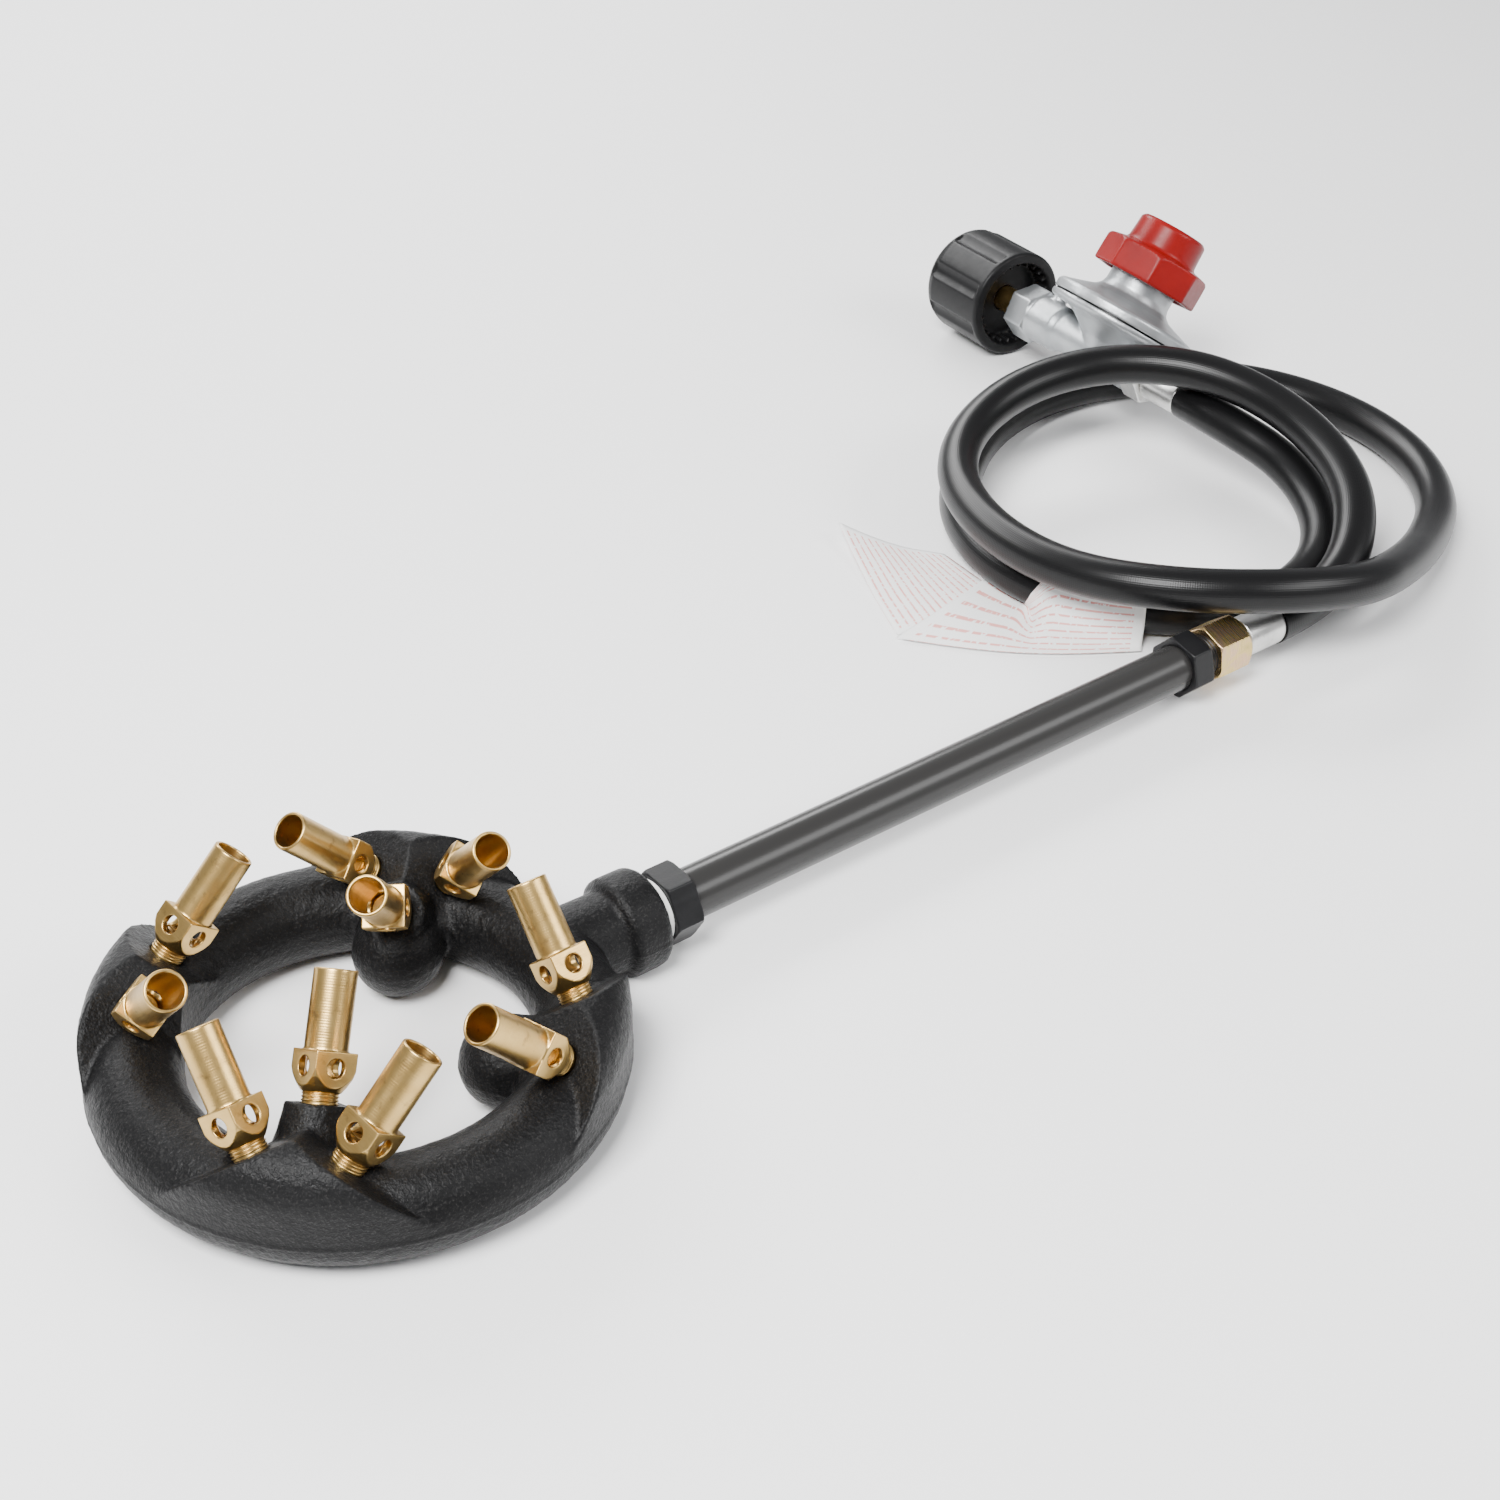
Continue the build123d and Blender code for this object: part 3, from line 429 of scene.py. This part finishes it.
def with_modifiers(mesh, *steps):
    """The mesh after a list of modifiers, each given as (kind, settings)."""
    holder = bpy.data.objects.new("holder", mesh)
    bpy.context.scene.collection.objects.link(holder)
    for kind, settings in steps:
        modifier = holder.modifiers.new(kind, kind)
        for key, value in settings.items():
            setattr(modifier, key, value)
    bpy.context.view_layer.update()
    result = bpy.data.meshes.new_from_object(holder.evaluated_get(bpy.context.evaluated_depsgraph_get()))
    bpy.data.objects.remove(holder)
    return result


def smooth_faces(mesh, angle=None):
    for face in mesh.polygons:
        face.use_smooth = True
    if angle is not None:
        mesh.set_sharp_from_angle(angle=angle)
    return mesh


def softened(node, matrix, voxel, rounds, keep=1.0):
    """The CAD shape as one even skin, with every edge rounded over, in the frame's coordinates."""
    mesh = with_modifiers(
        local_copy(node, matrix),
        ("REMESH", {"mode": "VOXEL", "voxel_size": voxel}),
        ("SMOOTH", {"factor": 0.5, "iterations": rounds}),
        ("DECIMATE", {"ratio": keep}))
    return smooth_faces(mesh)


def thread_mesh(radius, depth, start, end, pitch_length, sides=56):
    """A helical V thread standing on a shaft, fading out at both ends."""
    steps = max(8, round((end - start) / pitch_length * 10))
    verts, faces = [], []
    for row in range(steps + 1):
        z = start + (end - start) * row / steps
        fade = min(1.0, (z - start) / pitch_length * 1.5, (end - z) / pitch_length * 1.5)
        for side in range(sides):
            angle = tau * side / sides
            phase = (z / pitch_length - angle / tau) % 1.0
            height = depth * (1 - abs(2 * phase - 1)) * max(fade, 0.0)
            verts.append(((radius + height) * cos(angle), (radius + height) * sin(angle), z))
    for row in range(steps):
        for side in range(sides):
            here, beside = row * sides + side, row * sides + (side + 1) % sides
            faces.append((here, beside, beside + sides, here + sides))
    mesh = bpy.data.meshes.new("thread")
    mesh.from_pydata(verts, [], faces)
    mesh.update()
    return smooth_faces(mesh)


# ---------------------------------------------------------------- tag: one folded sheet held by the hose
TAG_THICK = 0.00022
TAG_GAP = 0.00012
SKIN = HOSE_RADIUS + TAG_GAP + TAG_THICK      # from the middle of the hose to the sheet's outer face
FLOOR_PLY_START, FLOOR_PLY_END = Vector((0.3405, 0.1080, FLOOR_LINE)), Vector((0.3630, 0.0375, FLOOR_LINE))
FOOT_START, FOOT_END = Vector((0.2820, 0.0880, 0)), Vector((0.3520, 0.0275, 0))
FLAP_OUTER = Vector((0.2845, 0.0905)), Vector((0.3135, 0.1600))
FLAP_INNER = Vector((0.3370, 0.0800)), Vector((0.3400, 0.1250))


def hose_line():
    """Points along the middle of the hose, read from its own spline."""
    guide = hose.data.copy()
    guide.bevel_depth = 0
    guide.use_fill_caps = False
    holder = bpy.data.objects.new("guide", guide)
    bpy.context.scene.collection.objects.link(holder)
    bpy.context.view_layer.update()
    line = bpy.data.meshes.new_from_object(holder.evaluated_get(bpy.context.evaluated_depsgraph_get()))
    points = [vertex.co.copy() for vertex in line.vertices]
    bpy.data.objects.remove(holder)
    return points


def grid_mesh(name, rows, thickness):
    """A sheet through rows of points, with a 0 to 1 map over it and an even thickness below it."""
    height, width = len(rows), len(rows[0])
    mesh = bpy.data.meshes.new(name)
    mesh.from_pydata(
        [tuple(point) for row in rows for point in row], [],
        [(r * width + c, r * width + c + 1, (r + 1) * width + c + 1, (r + 1) * width + c)
         for r in range(height - 1) for c in range(width - 1)])
    mesh.update()
    sheet_map = mesh.uv_layers.new(name="sheet")
    for loop in mesh.loops:
        row, column = divmod(loop.vertex_index, width)
        sheet_map.data[loop.index].uv = (row / (height - 1), column / (width - 1))
    return smooth_faces(with_modifiers(mesh, ("SOLIDIFY", {"thickness": thickness, "offset": -1})))


def blend_points(first, second, share):
    return first * (1 - share) + second * share


def tag_front():
    """The front: on the floor beside the hose at one end, and over the hose at the other."""
    centre = [p for p in hose_line() if abs(p.z - FLOOR_LINE) < 0.0006]
    start, end = sorted(
        min(range(len(centre)), key=lambda k: (centre[k] - place).length)
        for place in (FLOOR_PLY_START, FLOOR_PLY_END))
    steps, wrap_steps, leg_steps = 72, 16, 22
    foot_height = 2 * TAG_THICK + 0.0006
    rows = []
    for step in range(steps + 1):
        share = step / steps
        place = start + (end - start) * share
        low = min(int(place), len(centre) - 2)
        here = centre[low].lerp(centre[low + 1], place - low)
        run = (centre[low + 1] - centre[low]).normalized()
        out = run.cross(Vector((0, 0, 1))).normalized()
        row = []
        # 0 where the sheet ends under the hose's side, 1 where it goes over the hose, eased between
        over = min(1.0, max(0.0, (share - 0.34) / 0.26))
        over = over * over * (3 - 2 * over)
        # angles round the hose, from its outer side upwards, between which the sheet lies on it
        leave = radians(-62 + 116 * over)
        wrap_from = radians(-74 + 236 * over)
        for k in range(wrap_steps):
            angle = wrap_from + (leave - wrap_from) * k / wrap_steps
            row.append(here + (out * cos(angle) + Vector((0, 0, 1)) * sin(angle)) * SKIN)
        top = here + (out * cos(leave) + Vector((0, 0, 1)) * sin(leave)) * SKIN
        foot = FOOT_START.lerp(FOOT_END, share) + Vector((-0.0035, -0.0045, 0)) * sin(pi * share)
        foot.z = foot_height
        fall = Vector((sin(leave), 0, -cos(leave)))
        handle = top + (out * fall.x + Vector((0, 0, fall.z))) * (foot - top).length * 0.45
        near = foot + (top - foot).normalized() * 0.012
        near.z = foot.z + 0.0002
        for k in range(leg_steps + 1):
            t = k / leg_steps
            point = blend_points(
                blend_points(blend_points(top, handle, t), blend_points(handle, near, t), t),
                blend_points(blend_points(handle, near, t), blend_points(near, foot, t), t), t)
            point.z = max(point.z, TAG_THICK + 0.00022 + 0.0009 * min(1, k / 6))
            row.append(point)
        rows.append(row)
    return grid_mesh("tag_front", rows, TAG_THICK)


def tag_flap():
    """The other end of the sheet, on the floor, with its free corner a little raised."""
    steps, cross_steps = 30, 24
    rows = []
    for step in range(steps + 1):
        share = step / steps
        outer, inner = FLAP_OUTER[0].lerp(FLAP_OUTER[1], share), FLAP_INNER[0].lerp(FLAP_INNER[1], share)
        row = []
        for k in range(cross_steps + 1):
            t = k / cross_steps
            place = inner.lerp(outer, t)
            curl = 0.0075 * (max(0.0, share - 0.35) * max(0.0, t - 0.3)) ** 1.5 * 3
            ripple = 0.0004 * (1 + sin(9 * share + 3 * t)) * t * share
            row.append(Vector((place.x, place.y, TAG_THICK + 0.00004 + curl + ripple)))
        rows.append(row)
    return grid_mesh("tag_flap", rows, TAG_THICK)


for name, mesh in (("tag_front_sheet", tag_front()), ("tag_floor_sheet", tag_flap())):
    tag_piece = new_piece(name, mesh, Matrix.Identity(4), TAG_STOCK)
    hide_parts("hose_tag")


# ---------------------------------------------------------------- cast ring
RING_MIDDLE = 0.074      # radius that divides the ring's outer side from its inner side
SWELLS = (90, 0.00018), (380, 0.00012), (800, 0.00007)      # scale and height of each layer of unevenness
SEAM_HEIGHT, SEAM_HALF_WIDTH = 0.00028, 0.0006
SKIN_OFFSET = -0.0001


def rough_cast(mesh):
    """Sand-cast surface: low swells, fine grit and the mould's parting line at mid height."""
    mesh.update()
    moved = []
    for vertex in mesh.vertices:
        place = vertex.co
        swell = sum(noise.noise(place * scale) * height for scale, height in SWELLS)
        seam = SEAM_HEIGHT * max(0.0, 1 - abs(place.z - AXIS_HEIGHT) / SEAM_HALF_WIDTH)
        if place.xy.length <= RING_MIDDLE:
            seam *= 0.5
        moved.extend(place + vertex.normal * (swell + SKIN_OFFSET + seam))
    mesh.vertices.foreach_set("co", moved)
    mesh.update()
    return mesh


ring_mesh = softened("burner_ring", Matrix.Identity(4), voxel=0.0007, rounds=7, keep=0.7)
ring = new_piece("burner_ring_skin", rough_cast(ring_mesh), Matrix.Identity(4), CAST_IRON)
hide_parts("burner_ring")


# ---------------------------------------------------------------- jets
def jet_matrix(angle, side, turn):
    """Frame of a jet: origin at its foot on the ring, z along its flow."""
    station = radians(angle)
    swung = station + pi - side * JET_SWING
    out, sideways, height = INNER_BASE if side == 0 else (OUTER_BASE[0], side * OUTER_BASE[1], OUTER_BASE[2])
    base = Vector((
        out * cos(station) - sideways * sin(station), out * sin(station) + sideways * cos(station), height))
    along = Vector((sin(JET_LEAN) * cos(swung), sin(JET_LEAN) * sin(swung), cos(JET_LEAN)))
    level_side = Vector((-sin(swung), cos(swung), 0))
    spin = radians(turn)
    return matrix_from(base, level_side * cos(spin) + along.cross(level_side) * sin(spin), along)


jet_mesh = softened("jet_01", jet_matrix(*JETS[0]), voxel=0.00026, rounds=2, keep=0.3)
jet_thread = thread_mesh(radius=0.0046, depth=0.00055, start=-0.0034, end=0.0006, pitch_length=0.00094)
for number, jet in enumerate(JETS, start=1):
    piece = new_piece(f"jet_{number:02d}_body", jet_mesh.copy(), jet_matrix(*jet), BRASS)
    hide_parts(f"jet_{number:02d}")
    new_piece(f"jet_{number:02d}_thread", jet_thread.copy(), jet_matrix(*jet), BRASS)

# ---------------------------------------------------------------- pipe line
FINE_VOXEL = 0.00028

for node, rounds, material, slot in (
        ("inlet_bushing", 3, BLACK_STEEL, "black_steel"),
        ("hose_adapter", 3, BLACK_STEEL, "black_steel"),
        ("ferrule_burner_end", 2, BRIGHT_STEEL, "bright_steel"),
        ("hose_stem", 1, YELLOW_ZINC, "yellow_zinc")):
    piece = new_piece(
        node + "_finish", softened(node, PIPE_FRAME, FINE_VOXEL, rounds, 0.4), PIPE_FRAME, material)
    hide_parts(node)
swivel = new_piece(
    "swivel_nut_finish", softened("swivel_nut", PIPE_FRAME, FINE_VOXEL, 3, 0.4), PIPE_FRAME, YELLOW_ZINC,
    "swivel_nut")
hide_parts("swivel_nut")
adapter_thread = thread_mesh(radius=0.00765, depth=0.0006, start=0.3480, end=0.3560, pitch_length=0.0014)
new_piece("adapter_thread", adapter_thread, PIPE_FRAME, BLACK_STEEL)

# ---------------------------------------------------------------- regulator
for node, frame_matrix, voxel, rounds, material, slot, body in (
        ("regulator_body", FLOW_FRAME, 0.00055, 3, ZINC_CASTING, "zinc_casting", "burner"),
        ("regulator_bonnet", KNOB_FRAME, 0.00055, 3, ZINC_CASTING, "zinc_casting", "burner"),
        ("adjusting_knob", KNOB_FRAME, 0.0006, 4, RED_PLASTIC, "red_plastic", "knob"),
        ("tank_nut", FLOW_FRAME, 0.0006, 4, BLACK_PLASTIC, "black_plastic", "tank_nut")):
    piece = new_piece(
        node + "_skin", softened(node, frame_matrix, voxel, rounds, 0.6), frame_matrix, material, body)
    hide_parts(node)
for node, rounds, material, slot in (
        ("outlet_fitting", 3, BRIGHT_STEEL, "bright_steel"),
        ("ferrule_regulator_end", 2, BRIGHT_STEEL, "bright_steel"),
        ("inlet_nipple", 2, BRASS, "brass")):
    piece = new_piece(
        node + "_finish", softened(node, FLOW_FRAME, FINE_VOXEL, rounds, 0.4), FLOW_FRAME, material)
    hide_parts(node)

spring = new_piece(
    "regulating_spring_coil", local_copy("regulating_spring", KNOB_FRAME), KNOB_FRAME, BRIGHT_STEEL)
smooth_faces(spring.data, radians(40))
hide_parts("regulating_spring")
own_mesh(spring)

# ---------------------------------------------------------------- CAD pieces shown as they are
for node, material in {
        "feed_pipe": PIPE_LACQUER, "thread_seal_tape": TAPE, "orifice_screws": BRASS,
        "nipple_seal": RUBBER, "valve_seat": BRASS, "diaphragm": RUBBER,
        "diaphragm_plate": BRIGHT_STEEL, "spring_button": BRIGHT_STEEL,
        "adjusting_screw": BRIGHT_STEEL}.items():
    paint(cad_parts[node], material)

# ---------------------------------------------------------------- floor and light
floor_mesh = bpy.data.meshes.new("floor")
floor_mesh.from_pydata([(-4, -4, 0), (5, -4, 0), (5, 5, 0), (-4, 5, 0)], [], [(0, 1, 2, 3)])
floor = bpy.data.objects.new("floor", floor_mesh)
bpy.context.scene.collection.objects.link(floor)
paint(floor, Shade("floor", (0.95, 0.95, 0.95), 0.6).material)

world = bpy.data.worlds.new("studio")
world.use_nodes = True
background = world.node_tree.nodes["Background"]
background.inputs["Color"].default_value = (0.96, 0.97, 1.0, 1)
background.inputs["Strength"].default_value = 0.42
bpy.context.scene.world = world


def softbox(name, place, target, size, power):
    data = bpy.data.lights.new(name, "AREA")
    data.shape = "RECTANGLE"
    data.size, data.size_y = size
    data.energy = power
    light = bpy.data.objects.new(name, data)
    bpy.context.scene.collection.objects.link(light)
    light.location = place
    light.rotation_euler = (Vector(target) - Vector(place)).to_track_quat("-Z", "Y").to_euler()


softbox("key", (-0.55, -0.25, 1.15), (0.15, 0.05, 0), (0.6, 0.6), 42)
softbox("fill", (0.9, -0.9, 0.9), (0.25, 0.05, 0), (1.0, 0.5), 14)
softbox("back", (0.35, 1.2, 0.75), (0.25, 0.1, 0), (1.6, 0.4), 26)
